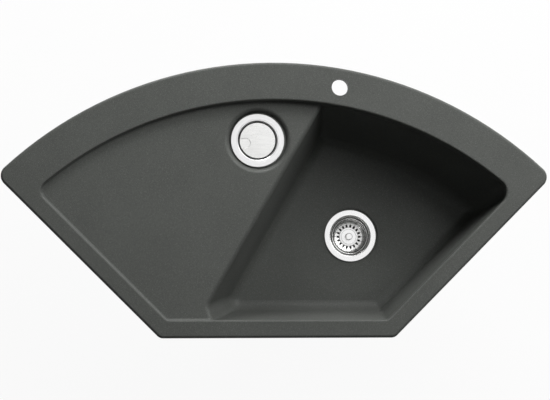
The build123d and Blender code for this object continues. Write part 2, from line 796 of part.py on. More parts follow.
with BuildPart() as strainer_knob:
    cap_top = cap_z + cap_thickness
    knob_top = cap_top + knob_height
    add(profile(bowl_waste, bowl_seat_z, [
        (0, cap_z),
        (cap_radius, cap_z),
        (cap_radius, cap_top - cap_groove),
        (cap_radius - cap_groove, cap_top),
        (cap_groove_radius + cap_groove, cap_top),
        (cap_groove_radius, cap_top - cap_groove),
        (cap_groove_radius - cap_groove, cap_top),
        (knob_radius, cap_top),
        (knob_neck_radius, cap_top + knob_neck_height),
        (knob_radius, knob_top - knob_head_height),
        (knob_radius, knob_top - knob_edge),
        (knob_radius - knob_edge, knob_top),
        (0, knob_top),
    ]))
    revolve(axis=axis_of(bowl_waste))
    with BuildSketch(bowl_waste.offset(bowl_seat_z + cap_z)):
        Circle(stem_radius)
    extrude(amount=plug_top - plug_thickness - retainer_thickness - part_gap - cap_z)

strainer_knob.part.label = "strainer_knob"
export_step(strainer_knob.part, "parts/strainer_knob.step")

with BuildPart() as strainer_plug_seal:
    add(profile(bowl_waste, bowl_seat_z, [
        (stem_radius + fit_gap, plug_top),
        (plug_radius - plug_thickness, plug_top),
        (plug_radius, plug_top - plug_thickness / 2),
        (plug_radius, plug_foot),
        (plug_radius - plug_lip, plug_foot),
        (plug_radius - plug_lip - plug_thickness / 2, plug_top - plug_thickness),
        (stem_radius + fit_gap, plug_top - plug_thickness),
    ]))
    revolve(axis=axis_of(bowl_waste))

strainer_plug_seal.part.label = "strainer_plug_seal"
export_step(strainer_plug_seal.part, "parts/strainer_plug_seal.step")

with BuildPart() as strainer_retainer:
    with BuildSketch(bowl_waste.offset(bowl_seat_z + plug_top - plug_thickness)):
        Circle(retainer_radius)
        Circle(stem_radius + fit_gap, mode=Mode.SUBTRACT)
    extrude(amount=-retainer_thickness)

strainer_retainer.part.label = "strainer_retainer"
export_step(strainer_retainer.part, "parts/strainer_retainer.step")

# ---------------------------------------------------------------- lid over the drainer's waste
lid_top = flange_top - lid_drop
with BuildPart() as drainer_lid:
    under = lid_top - lid_thickness
    with BuildSketch(upright(drainer_waste, drainer_seat_z)):
        with BuildLine():
            dome = TangentArc((0, lid_top + lid_crown), (lid_radius - lid_edge, lid_top), tangent=(1, 0))
            Polyline(
                dome @ 1,
                (lid_radius, lid_top - lid_edge),
                (lid_radius, lid_top - lid_skirt),
                (lid_radius - lid_thickness, lid_top - lid_skirt),
                (lid_radius - lid_thickness, under),
                (0, under),
                dome @ 0,
            )
        make_face()
    revolve(axis=axis_of(drainer_waste))
    # finger notch, open to the lid's edge
    with BuildSketch(drainer_waste.offset(drainer_seat_z + lid_top - lid_notch_depth)):
        with Locations(Location((0, 0, 0), (0, 0, lid_notch_angle))):
            with Locations((lid_notch_reach, 0)):
                Circle(lid_notch_radius)
                Rectangle(lid_radius, 2 * lid_notch_radius, align=(Align.MIN, Align.CENTER))
    extrude(amount=lid_notch_depth + lid_crown, mode=Mode.SUBTRACT)

drainer_lid.part.label = "drainer_lid"
export_step(drainer_lid.part, "parts/drainer_lid.step")

with BuildPart() as lid_support:
    ledge_z = drainer_seat_z + flange_top - cup_ledge_depth + part_gap
    ring_top = drainer_seat_z + lid_top - lid_thickness
    with BuildSketch(drainer_waste.offset(ledge_z)):
        Circle(lid_radius - lid_thickness - strip_gap)
        Circle(lid_ring_radius, mode=Mode.SUBTRACT)
    extrude(amount=ring_top - ledge_z)
    foot_reach = drainer_cup_radius - 2 * part_gap
    with BuildSketch(drainer_waste.offset(ledge_z)):
        with PolarLocations((lid_ring_radius + foot_reach) / 2, lid_foot_count, start_angle=90):
            Rectangle(foot_reach - lid_ring_radius, lid_foot_width)
    extrude(amount=lid_foot_height)
    with BuildSketch(drainer_waste.offset(ledge_z)):
        Circle(foot_reach)
        Circle(cup_ledge_radius + part_gap, mode=Mode.SUBTRACT)
    extrude(amount=lid_seat_height)

lid_support.part.label = "lid_support"
export_step(lid_support.part, "parts/lid_support.step")

# ---------------------------------------------------------------- pipework
run_x = bowl_waste_x - drainer_waste_x
run_y = bowl_waste_y - drainer_waste_y
run = sqrt(run_x**2 + run_y**2)
run_dir = Vector(run_x / run, run_y / run, 0)
bowl_mouth_z = bowl_seat_z + tail_mouth
drainer_mouth_z = drainer_seat_z + tail_mouth
hub_top_z = bowl_mouth_z - tee_hub_drop
cross_z = hub_top_z - tee_hub_half
bend_z = cross_z + elbow_bend_radius
outlet_z = cross_z - tee_hub_half - outlet_length


def across(waste, z, distance, toward=1):
    """Upright plane at a distance along the cross pipe's line from a waste's axis, facing along it."""
    origin = waste.offset(z).origin + run_dir * distance
    return Plane(origin, x_dir=(0, 0, 1), z_dir=run_dir * toward)


elbow_top = drainer_waste.offset(bend_z + socket_length)
elbow_side = across(drainer_waste, cross_z, elbow_bend_radius + socket_length)
tee_side = across(bowl_waste, cross_z, -tee_side_reach, -1)
bowl_mouth = Plane(bowl_waste.offset(bowl_mouth_z).origin, x_dir=(1, 0, 0), z_dir=(0, 0, -1))
drainer_mouth = Plane(drainer_waste.offset(drainer_mouth_z).origin, x_dir=(1, 0, 0), z_dir=(0, 0, -1))
mouths = (bowl_mouth, drainer_mouth, elbow_top, elbow_side, tee_side)


with BuildPart() as drop_pipe:
    bottom = bend_z + socket_length - pipe_insertion
    with BuildSketch(drainer_waste.offset(bottom)):
        Circle(pipe_radius)
        Circle(pipe_radius - pipe_wall, mode=Mode.SUBTRACT)
    extrude(amount=drainer_mouth_z + pipe_insertion - bottom)

drop_pipe.part.label = "drop_pipe"
export_step(drop_pipe.part, "parts/drop_pipe.step")

with BuildPart() as pipe_elbow:
    for socket in (drainer_waste.offset(bend_z), across(drainer_waste, cross_z, elbow_bend_radius)):
        with BuildSketch(socket):
            Circle(socket_outer)
            Circle(socket_radius, mode=Mode.SUBTRACT)
        extrude(amount=socket_length)
    with BuildSketch(drainer_waste.offset(bend_z)):
        Circle(socket_outer)
        Circle(pipe_radius - pipe_wall, mode=Mode.SUBTRACT)
    centre = drainer_waste.offset(bend_z).origin + run_dir * elbow_bend_radius
    revolve(axis=Axis(centre, (run_dir.Y, -run_dir.X, 0)), revolution_arc=90)

pipe_elbow.part.label = "pipe_elbow"
export_step(pipe_elbow.part, "parts/pipe_elbow.step")

with BuildPart() as cross_pipe:
    start = elbow_bend_radius + socket_length - pipe_insertion
    end = run - tee_side_reach + pipe_insertion
    with BuildSketch(across(drainer_waste, cross_z, start)):
        Circle(pipe_radius)
        Circle(pipe_radius - pipe_wall, mode=Mode.SUBTRACT)
    extrude(amount=end - start)

cross_pipe.part.label = "cross_pipe"
export_step(cross_pipe.part, "parts/cross_pipe.step")

with BuildPart() as waste_tee:
    bore = pipe_radius - socket_wall
    top = bowl_mouth_z + pipe_insertion
    with BuildSketch(bowl_waste.offset(outlet_z)):
        Circle(pipe_radius)
    extrude(amount=top - outlet_z)
    with BuildSketch(bowl_waste.offset(hub_top_z)):
        Circle(socket_outer)
    extrude(amount=-2 * tee_hub_half)
    with BuildSketch(tee_side):
        Circle(socket_outer)
    extrude(amount=-tee_side_reach)
    with BuildSketch(bowl_waste.offset(outlet_z)):
        Circle(bore)
    extrude(amount=top - outlet_z, mode=Mode.SUBTRACT)
    with BuildSketch(tee_side):
        Circle(bore)
    extrude(amount=-tee_side_reach, mode=Mode.SUBTRACT)
    with BuildSketch(tee_side):
        Circle(socket_radius)
    extrude(amount=-socket_length, mode=Mode.SUBTRACT)

waste_tee.part.label = "waste_tee"
export_step(waste_tee.part, "parts/waste_tee.step")

with BuildPart() as slip_nuts:
    for mouth in mouths:
        with BuildSketch(mouth.offset(-nut_overlap)):
            Circle(nut_radius - nut_grip_height)
            with PolarLocations(nut_radius - nut_grip_height, nut_grips):
                Rectangle(2 * nut_grip_height, nut_grip_width)
            Circle(socket_outer + strip_gap, mode=Mode.SUBTRACT)
        extrude(amount=nut_overlap + nut_overhang - nut_lip)
        with BuildSketch(mouth.offset(nut_overhang - nut_lip)):
            Circle(nut_radius - nut_grip_height)
            Circle(socket_radius, mode=Mode.SUBTRACT)
        extrude(amount=nut_lip)

slip_nuts.part.label = "slip_nuts"
export_step(slip_nuts.part, "parts/slip_nuts.step")

with BuildPart() as slip_seals:
    for mouth in mouths:
        with BuildSketch(mouth):
            Circle(socket_outer - part_gap)
            Circle(pipe_radius + strip_gap, mode=Mode.SUBTRACT)
        extrude(amount=slip_seal_length)

slip_seals.part.label = "slip_seals"
export_step(slip_seals.part, "parts/slip_seals.step")

# ---------------------------------------------------------------- fixing clips
screw_top = insert_length - skirt_depth - part_gap
screw_foot = screw_top - clip_screw_length
arm_z = screw_foot + part_gap
clip_nut_z = arm_z + clip_hub_height + part_gap

with BuildPart() as clip_inserts:
    for x, y, outward in clip_spots():
        with BuildSketch(spot(x, y, -skirt_depth)):
            Circle(insert_radius - fit_gap)
            Circle(clip_screw_radius + fit_gap, mode=Mode.SUBTRACT)
        extrude(amount=insert_length - part_gap)

clip_inserts.part.label = "clip_inserts"
export_step(clip_inserts.part, "parts/clip_inserts.step")

with BuildPart() as clip_screws:
    for x, y, outward in clip_spots():
        with BuildSketch(spot(x, y, screw_foot)):
            Circle(clip_screw_radius)
        extrude(amount=clip_screw_length)
        with BuildSketch(spot(x, y, screw_foot)):
            Circle(clip_head_radius)
        extrude(amount=-clip_head_height)
        with BuildSketch(spot(x, y, screw_foot - clip_head_height)):
            Rectangle(2 * clip_head_radius, screw_slot_width)
        extrude(amount=clip_head_height / 2, mode=Mode.SUBTRACT)

clip_screws.part.label = "clip_screws"
export_step(clip_screws.part, "parts/clip_screws.step")

with BuildPart() as clip_nuts:
    for x, y, outward in clip_spots():
        with BuildSketch(spot(x, y, clip_nut_z)):
            RegularPolygon(clip_hub_radius, 6)
            Circle(clip_screw_radius + fit_gap, mode=Mode.SUBTRACT)
        extrude(amount=clip_nut_height)

clip_nuts.part.label = "clip_nuts"
export_step(clip_nuts.part, "parts/clip_nuts.step")

for number, (x, y, outward) in enumerate(clip_spots(), start=1):
    stowed = radians(outward - 90)
    arm_plane = Plane((x - tap_x, y - tap_y, arm_z), x_dir=(cos(stowed), sin(stowed), 0), z_dir=(0, 0, 1))
    with BuildPart() as clip_arm:
        # strip with a raised tooth at its tip, on a tubular hub round the screw
        with BuildSketch(arm_plane.offset(clip_hub_height - clip_arm_thickness)):
            with Locations((clip_arm_reach / 2, 0)):
                Rectangle(clip_arm_reach, clip_arm_width)
        extrude(amount=clip_arm_thickness)
        with BuildSketch(arm_plane.offset(clip_hub_height)):
            with Locations((clip_arm_reach - clip_arm_thickness / 2, 0)):
                Rectangle(clip_arm_thickness, clip_arm_width)
        extrude(amount=clip_tooth_height)
        chamfer(clip_arm.edges().group_by(Axis.Z)[-1], clip_arm_thickness / 4)
        with BuildSketch(arm_plane):
            Circle(clip_hub_radius)
        extrude(amount=clip_hub_height)
        with BuildSketch(arm_plane):
            Circle(clip_screw_radius + fit_gap)
        extrude(amount=clip_hub_height, mode=Mode.SUBTRACT)
    clip_arm.part.label = f"clip_arm_{number}"
    export_step(clip_arm.part, f"parts/clip_arm_{number}.step")
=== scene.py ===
import json
import math
import bmesh
import bpy
import numpy
from mathutils import Matrix, Vector
from mathutils.bvhtree import BVHTree


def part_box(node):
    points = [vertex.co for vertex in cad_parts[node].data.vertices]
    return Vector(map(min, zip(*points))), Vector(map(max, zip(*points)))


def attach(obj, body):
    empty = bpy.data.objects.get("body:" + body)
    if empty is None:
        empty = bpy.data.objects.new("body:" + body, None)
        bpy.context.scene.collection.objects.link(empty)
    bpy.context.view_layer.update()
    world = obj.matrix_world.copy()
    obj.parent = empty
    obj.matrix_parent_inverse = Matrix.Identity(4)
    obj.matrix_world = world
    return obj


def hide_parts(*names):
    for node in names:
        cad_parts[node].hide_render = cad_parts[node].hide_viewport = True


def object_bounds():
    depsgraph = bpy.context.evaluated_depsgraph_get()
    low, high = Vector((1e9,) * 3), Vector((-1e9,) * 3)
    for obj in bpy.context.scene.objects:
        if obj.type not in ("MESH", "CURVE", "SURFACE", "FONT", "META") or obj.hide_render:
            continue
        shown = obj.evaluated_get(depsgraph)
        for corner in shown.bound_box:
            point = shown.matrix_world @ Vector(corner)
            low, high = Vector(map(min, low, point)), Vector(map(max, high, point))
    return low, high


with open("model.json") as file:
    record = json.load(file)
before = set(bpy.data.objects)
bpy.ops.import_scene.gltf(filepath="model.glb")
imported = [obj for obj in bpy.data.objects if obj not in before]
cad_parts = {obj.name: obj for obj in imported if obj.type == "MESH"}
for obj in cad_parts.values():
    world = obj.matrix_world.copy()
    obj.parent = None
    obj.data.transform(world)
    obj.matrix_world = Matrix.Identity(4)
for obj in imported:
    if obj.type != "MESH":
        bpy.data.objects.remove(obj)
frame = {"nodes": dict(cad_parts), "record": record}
cad_low, cad_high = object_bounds()

# ---------------------------------------------------------------- node tools

scene = bpy.context.scene


class Shader:
    """One procedural material, built node by node."""

    def __init__(self, name):
        self.material = bpy.data.materials.new(name)
        self.material.use_nodes = True
        self.tree = self.material.node_tree
        self.tree.nodes.clear()
        self.output = self.add("ShaderNodeOutputMaterial")
        self.surface = self.add("ShaderNodeBsdfPrincipled")
        self.link(self.surface.outputs["BSDF"], self.output.inputs["Surface"])
        self.place = self.add("ShaderNodeTexCoord").outputs["Object"]

    def add(self, kind, **settings):
        node = self.tree.nodes.new(kind)
        for key, value in settings.items():
            setattr(node, key, value)
        return node

    def link(self, start, end):
        self.tree.links.new(start, end)

    def constant(self, **values):
        names = {"metallic": "Metallic", "roughness": "Roughness", "specular": "Specular IOR Level"}
        for key, value in values.items():
            self.surface.inputs[names[key]].default_value = value

    def calculate(self, operation, *values):
        """One sum, on numbers or on sockets."""
        node = self.add("ShaderNodeMath", operation=operation)
        for value, socket in zip(values, node.inputs):
            if hasattr(value, "is_linked"):
                self.link(value, socket)
            else:
                socket.default_value = value
        return node.outputs["Value"]

    def vector(self, operation, place, other=None, result="Vector"):
        node = self.add("ShaderNodeVectorMath", operation=operation)
        self.link(place, node.inputs[0])
        if other is not None:
            node.inputs[1].default_value = other
        return node.outputs[result]

    def along(self, place, axis):
        node = self.add("ShaderNodeSeparateXYZ")
        self.link(place, node.inputs["Vector"])
        return node.outputs[axis]

    def noise(self, scale, detail=2.0, rough=0.5, place=None):
        node = self.add("ShaderNodeTexNoise")
        node.inputs["Scale"].default_value = scale
        node.inputs["Detail"].default_value = detail
        node.inputs["Roughness"].default_value = rough
        self.link(place or self.place, node.inputs["Vector"])
        return node.outputs["Fac"]

    def grains(self, scale):
        node = self.add("ShaderNodeTexVoronoi")
        node.inputs["Scale"].default_value = scale
        self.link(self.place, node.inputs["Vector"])
        split = self.add("ShaderNodeSeparateColor")
        self.link(node.outputs["Color"], split.inputs["Color"])
        return split.outputs["Red"]

    def spread(self, value, low, high, at_low=0.0, at_high=1.0):
        node = self.add("ShaderNodeMapRange")
        node.inputs["From Min"].default_value = low
        node.inputs["From Max"].default_value = high
        node.inputs["To Min"].default_value = at_low
        node.inputs["To Max"].default_value = at_high
        self.link(value, node.inputs["Value"])
        return node.outputs["Result"]

    def ramp(self, value, *stops):
        node = self.add("ShaderNodeValToRGB")
        ramp = node.color_ramp
        while len(ramp.elements) < len(stops):
            ramp.elements.new(0.5)
        for element, (position, colour) in zip(ramp.elements, stops):
            element.position = position
            element.color = (*colour, 1.0)
        self.link(value, node.inputs["Fac"])
        return node.outputs["Color"]

    def mix(self, share, first, second, blend="MIX"):
        node = self.add("ShaderNodeMix", data_type="RGBA", blend_type=blend)
        for value, socket in ((share, 0), (first, 6), (second, 7)):
            if hasattr(value, "is_linked"):
                self.link(value, node.inputs[socket])
            elif socket:
                node.inputs[socket].default_value = (*value, 1.0)
            else:
                node.inputs[socket].default_value = value
        return node.outputs[2]

    def stretch(self, scale):
        node = self.add("ShaderNodeMapping")
        node.inputs["Scale"].default_value = scale
        self.link(self.place, node.inputs["Vector"])
        return node.outputs["Vector"]

    def around(self, x, y):
        """Distance from an upright axis, with the height, as a texture place for turned rings."""
        moved = self.vector("SUBTRACT", self.place, (x, y, 0.0))
        flat = self.vector("MULTIPLY", moved, (1.0, 1.0, 0.0))
        joined = self.add("ShaderNodeCombineXYZ")
        self.link(self.vector("LENGTH", flat, result="Value"), joined.inputs["X"])
        self.link(self.along(self.place, "Z"), joined.inputs["Y"])
        return joined.outputs["Vector"]

    def bump(self, value, strength, distance):
        node = self.add("ShaderNodeBump")
        node.inputs["Strength"].default_value = strength
        node.inputs["Distance"].default_value = distance
        self.link(value, node.inputs["Height"])
        before = self.surface.inputs["Normal"]
        if before.is_linked:
            self.link(before.links[0].from_socket, node.inputs["Normal"])
        self.link(node.outputs["Normal"], before)

    def colour(self, value):
        self.link(value, self.surface.inputs["Base Color"])

    def rough(self, value):
        self.link(value, self.surface.inputs["Roughness"])


# ----------------------------------------------------------------- materials

MM = 0.001
# painted shade: the dark colour painted in rings where two steel pieces meet and shade falls
painted_shade_tone = (0.05, 0.05, 0.05)


def composite():
    """Matt anthracite stone composite: fine quartz grain, a slightly pebbled moulded skin."""
    m = Shader("composite")
    chips = m.grains(1500.0)
    grain = m.ramp(
        chips,
        (0.0, (0.070, 0.074, 0.069)),
        (0.10, (0.096, 0.101, 0.094)),
        (0.84, (0.113, 0.118, 0.110)),
        (0.96, (0.150, 0.155, 0.147)),
        (1.0, (0.215, 0.220, 0.210)),
    )
    cloud = m.spread(m.noise(9.0, 3.0), 0.3, 0.7)
    tone = m.ramp(cloud, (0.0, (0.95, 0.95, 0.95)), (1.0, (1.04, 1.04, 1.04)))
    m.colour(m.mix(1.0, grain, tone, "MULTIPLY"))
    m.rough(m.spread(m.noise(420.0, 2.0), 0.3, 0.7, 0.36, 0.46))
    m.constant(specular=0.16)
    m.bump(m.noise(700.0, 3.0, 0.6), 0.22, 0.0004)
    m.bump(m.noise(60.0, 2.0), 0.10, 0.0010)
    return m.material


def steel(name, place_of, tone, low, high, strength, shade_rings=()):
    """Stainless steel with turned or brushed lines, rough from low to high.

    Each shade ring is a painted shade, a dark ring where two pieces meet and shade falls: its
    radius and half its width.
    """
    m = Shader(name)
    place = place_of(m)
    fine = m.noise(2600.0, 2.0, 0.6, place)
    wide = m.noise(240.0, 2.0, 0.5, place)
    smudge = m.spread(m.noise(34.0, 2.0), 0.35, 0.7)
    shade = tuple(0.93 * part for part in tone)
    colour = m.mix(m.spread(wide, 0.35, 0.65), shade, tone)
    # painted shade: each ring darkens the colour at its radius, where shade falls between two
    # pieces
    for radius, half in shade_rings:
        off = m.calculate("ABSOLUTE", m.calculate("SUBTRACT", m.along(place, "X"), radius))
        colour = m.mix(m.spread(off, 0.4 * half, half), painted_shade_tone, colour)
    m.colour(colour)
    lines = m.spread(fine, 0.3, 0.7, low, high)
    m.rough(m.calculate("MULTIPLY_ADD", smudge, 0.05, lines))
    m.constant(metallic=1.0)
    m.bump(fine, strength, 0.00008)
    return m.material


def rubber(name, tone):
    m = Shader(name)
    dust = m.spread(m.noise(160.0, 3.0, 0.6), 0.35, 0.75)
    lighter = tuple(2.2 * part + 0.006 for part in tone)
    m.colour(m.mix(dust, tone, lighter))
    m.rough(m.spread(m.noise(300.0), 0.3, 0.7, 0.62, 0.82))
    m.constant(specular=0.35)
    m.bump(m.noise(900.0, 2.0), 0.25, 0.0002)
    return m.material


def foam():
    """Closed-cell strip: small round cells in a black skin."""
    m = Shader("foam_strip")
    cells = m.add("ShaderNodeTexVoronoi")
    cells.inputs["Scale"].default_value = 1100.0
    m.link(m.place, cells.inputs["Vector"])
    depth = m.spread(cells.outputs["Distance"], 0.0, 0.7)
    m.colour(m.ramp(depth, (0.0, (0.012, 0.012, 0.013)), (1.0, (0.045, 0.045, 0.048))))
    m.rough(m.spread(depth, 0.0, 1.0, 0.95, 0.75))
    m.constant(specular=0.2)
    m.bump(depth, 0.5, 0.0004)
    return m.material


def plastic(name, tone, low, high, grain):
    m = Shader(name)
    flow = m.spread(m.noise(22.0, 3.0), 0.3, 0.7)
    darker = tuple(0.93 * part for part in tone)
    handled = m.spread(m.noise(130.0, 3.0, 0.65), 0.55, 0.8)
    dusty = tuple(0.86 * part + 0.01 for part in tone)
    m.colour(m.mix(m.spread(handled, 0.0, 1.0, 0.0, 0.35), m.mix(flow, darker, tone), dusty))
    m.rough(m.spread(m.noise(180.0, 2.0), 0.3, 0.7, low, high))
    m.constant(specular=0.45)
    m.bump(m.noise(grain, 2.0), 0.12, 0.0002)
    return m.material


def metal(name, tone, worn, low, high):
    m = Shader(name)
    patch = m.spread(m.noise(260.0, 3.0, 0.6), 0.4, 0.7)
    m.colour(m.mix(patch, tone, worn))
    m.rough(m.spread(m.noise(900.0), 0.3, 0.7, low, high))
    m.constant(metallic=1.0)
    m.bump(m.noise(1500.0, 2.0), 0.15, 0.0001)
    return m.material


def middle(node):
    low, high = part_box(node)
    return (low[0] + high[0]) / 2, (low[1] + high[1]) / 2


bowl_axis = middle("bowl_waste_cup")
drainer_axis = middle("drainer_waste_cup")

polished = (0.90, 0.90, 0.90)
pressed = (0.84, 0.84, 0.83)
satin = (0.82, 0.82, 0.82)
brushed = (0.82, 0.82, 0.81)
brush_lines = (0.12, 1.0, 1.0)
# painted shade rings, each a radius and half a width: the dark gap round the cup, the basket's
# groove and lip edge, and the lid's ring gap
cup_shade_rings = ((39.8 * MM, 1.4 * MM),)
basket_shade_rings = ((35.6 * MM, 1.4 * MM), (39.6 * MM, 1.4 * MM))
drainer_shade_rings = ((38.6 * MM, 2.4 * MM),)

stone = composite()
bowl_steel = steel(
    "bowl_stainless", lambda m: m.around(*bowl_axis), polished, 0.16, 0.26, 0.16, cup_shade_rings
)
drainer_steel = steel(
    "drainer_stainless", lambda m: m.around(*drainer_axis), satin, 0.30, 0.40, 0.16,
    drainer_shade_rings,
)
basket_steel = steel(
    "basket_stainless", lambda m: m.around(*bowl_axis), pressed, 0.22, 0.30, 0.0, basket_shade_rings
)
lid_steel = steel("lid_stainless", lambda m: m.stretch(brush_lines), brushed, 0.22, 0.36, 0.20)
finishes = {
    "composite": stone,
    "foam_strip": foam(),
    "seal_rubber": rubber("seal_rubber", (0.016, 0.016, 0.017)),
    "stainless": bowl_steel,
    "waste_plastic": plastic("waste_plastic", (0.50, 0.51, 0.51), 0.34, 0.50, 520.0),
    "pipe_plastic": plastic("pipe_plastic", (0.74, 0.74, 0.72), 0.28, 0.44, 380.0),
    "nut_plastic": plastic("nut_plastic", (0.66, 0.66, 0.64), 0.34, 0.52, 520.0),
    "dark_plastic": plastic("dark_plastic", (0.018, 0.019, 0.020), 0.36, 0.56, 620.0),
    "insert_brass": metal("insert_brass", (0.60, 0.43, 0.17), (0.38, 0.27, 0.12), 0.24, 0.42),
    "zinc_steel": metal("zinc_steel", (0.56, 0.57, 0.60), (0.44, 0.45, 0.47), 0.26, 0.46),
}
own = {
    "drainer_waste_cup": drainer_steel,
    "drainer_clamp_screw": drainer_steel,
    "drainer_lid": lid_steel,
}
for row in frame["record"]["subparts"]:
    name = row["node"]
    finish = own.get(name, finishes[row["material_slot"]])
    piece = frame["nodes"][name]
    if not piece.material_slots:
        piece.data.materials.append(finish)
    for held in piece.material_slots:
        held.material = finish

# -------------------------------------------------------------------- pieces

down = (0.0, 0.0, -1.0)
overhead = 100.0 * MM        # a height above the whole sink, to look down from
sunk = 0.06 * MM             # how far the edges of a fairing lie under the surface


def tree_of(node):
    mesh = frame["nodes"][node].data
    return BVHTree.FromPolygons(
        [corner.co for corner in mesh.vertices], [face.vertices for face in mesh.polygons]
    )


body_tree = tree_of("sink_body")
basket_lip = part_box("strainer_basket")[1][2] - 1.0 * MM


def reach_of(start, direction, tree=body_tree):
    """Where a ray from start meets a CAD node, the moulded body unless another is named."""
    return tree.ray_cast(Vector(start), Vector(direction))[0]


def directions(turns):
    """The ways out from an upright axis, evenly all round it."""
    ways = [2.0 * math.pi * turn / turns for turn in range(turns)]
    return [(math.cos(way), math.sin(way)) for way in ways]


def new_piece(name, corners, faces, finish, body):
    """A smooth piece that rides a body, with its faces turned outward and no loose points."""
    mesh = bpy.data.meshes.new(name)
    mesh.from_pydata(corners, [], faces)
    work = bmesh.new()
    work.from_mesh(mesh)
    loose = [corner for corner in work.verts if not corner.link_faces]
    bmesh.ops.delete(work, geom=loose, context="VERTS")
    bmesh.ops.recalc_face_normals(work, faces=work.faces)
    work.to_mesh(mesh)
    work.free()
    piece = bpy.data.objects.new(name, mesh)
    scene.collection.objects.link(piece)
    mesh.materials.append(finish)
    mesh.shade_smooth()
    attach(piece, body)
    return piece


def ring_mesh(name, rings, finish, body, round_trip=True):
    """Closed solid through lines of points, each joined to the next and the last to the first.

    The lines run all the way round, or else have ends, which are capped.
    """
    count = len(rings[0])
    corners = [point for ring in rings for point in ring]
    faces = []
    if not round_trip:
        faces += [[ring * count + end for ring in range(len(rings))] for end in (0, count - 1)]
    for here in range(len(rings)):
        there = (here + 1) % len(rings)
        for spot in range(count if round_trip else count - 1):
            after = (spot + 1) % count
            near, far = here * count, there * count
            faces.append((near + spot, near + after, far + after, far + spot))
    new_piece(name, corners, faces, finish, body)


def bowl_foot_fairing(radius, turns, steps):
    """The wide round foot of the bowl's walls, over the moulding's own smaller one."""
    x, y = bowl_axis
    floor = reach_of((x - 90.0 * MM, y - 110.0 * MM, 0.0), down).z
    across = numpy.array(directions(turns))
    low, high = 30.0 * MM, 60.0 * MM         # two heights at which the wall is plain
    halvings = 18

    def wall(height):
        hits = [reach_of((x, y, floor + height), (c, s, 0.0)) for c, s in across]
        return numpy.array([math.hypot(hit.x - x, hit.y - y) for hit in hits])

    at_low, at_high = wall(low), wall(high)

    def outline(height):
        """The drafted wall, carried on down to this height."""
        reach = at_low + (at_low - at_high) * (low - height) / (high - low)
        return across * reach[:, None]

    def inset(points, distance):
        """Points in the same directions, at a distance inside the closed outline."""
        start, end = points, numpy.roll(points, -1, axis=0)
        along = end - start
        length = (along**2).sum(axis=1)
        near = numpy.zeros(turns)
        far = numpy.hypot(points[:, 0], points[:, 1])
        for _ in range(halvings):
            halfway = (near + far) / 2.0
            spots = across * halfway[:, None]
            offset = spots[:, None, :] - start[None, :, :]
            share = ((offset * along).sum(axis=2) / length).clip(0.0, 1.0)
            gap = numpy.hypot(*(offset - share[:, :, None] * along).transpose(2, 0, 1)).min(axis=1)
            clear = gap > distance
            near = numpy.where(clear, halfway, near)
            far = numpy.where(clear, far, halfway)
        return across * near[:, None]

    def ring(points, height):
        return [(x + a, y + b, floor + height) for a, b in points]

    # shares of the wall's own reach and of the radius, so that both edges end in the moulding
    into_wall, into_corner, past_corner = 1.0006, 1.01, 1.05
    first, sweep = 4.0, 82.0                 # degrees of the round that are made
    rings = [ring(outline(radius) * into_wall, radius)]
    for step in range(steps + 1):
        turn = math.radians(first + sweep * step / steps)
        height = radius * (1.0 - math.sin(turn))
        distance = radius * (1.0 - math.cos(turn))
        rings.append(ring(inset(outline(height), distance), height))
    rings.append(ring(inset(outline(0.0), radius * past_corner), -2.0 * sunk))
    rings.append(ring(outline(0.0) * into_corner, -0.5 * MM))
    ring_mesh("bowl_foot_fairing", rings, stone, "sink")


def recess_slope(turns, steps):
    """The sloping wall of the drainer's round recess, over the moulding's upright one."""
    x, y = drainer_axis
    on_seat, on_deck = 61.0 * MM, 74.0 * MM  # how far out to look down on each of them
    outer, curve, slope = 69.8 * MM, 8.0 * MM, math.radians(41.0)
    seat = reach_of((x + on_seat, y, overhead), down).z
    spots = [(on_deck * math.cos(way), on_deck * math.sin(way)) for way in (0.5, 2.6, 4.7)]
    marks = [reach_of((x + a, y + b, overhead), down) for a, b in spots]
    lean = (marks[1] - marks[0]).cross(marks[2] - marks[0]).normalized()

    def deck(a, b):
        return marks[0].z - ((a - marks[0].x) * lean.x + (b - marks[0].y) * lean.y) / lean.z

    line = [(outer + 0.8 * MM, -sunk)]
    for step in range(steps + 1):
        turn = slope * step / steps
        line.append((outer - curve * math.sin(turn), -curve * (1.0 - math.cos(turn))))
    across = directions(turns)
    rings = []
    for reach, drop in line:
        edge = [(x + reach * c, y + reach * s) for c, s in across]
        rings.append([(a, b, deck(a, b) + drop) for a, b in edge])
    foot = []
    for (c, s), (_, _, top) in zip(across, rings[-1]):
        reach = line[-1][0] - (top - seat + sunk) / math.tan(slope)
        foot.append((x + reach * c, y + reach * s, seat - sunk))
    back = [(x + outer * c, y + outer * s, seat - 1.0 * MM) for c, s in across]
    rings += [foot, back]
    ring_mesh("drainer_recess_slope", rings, stone, "sink")


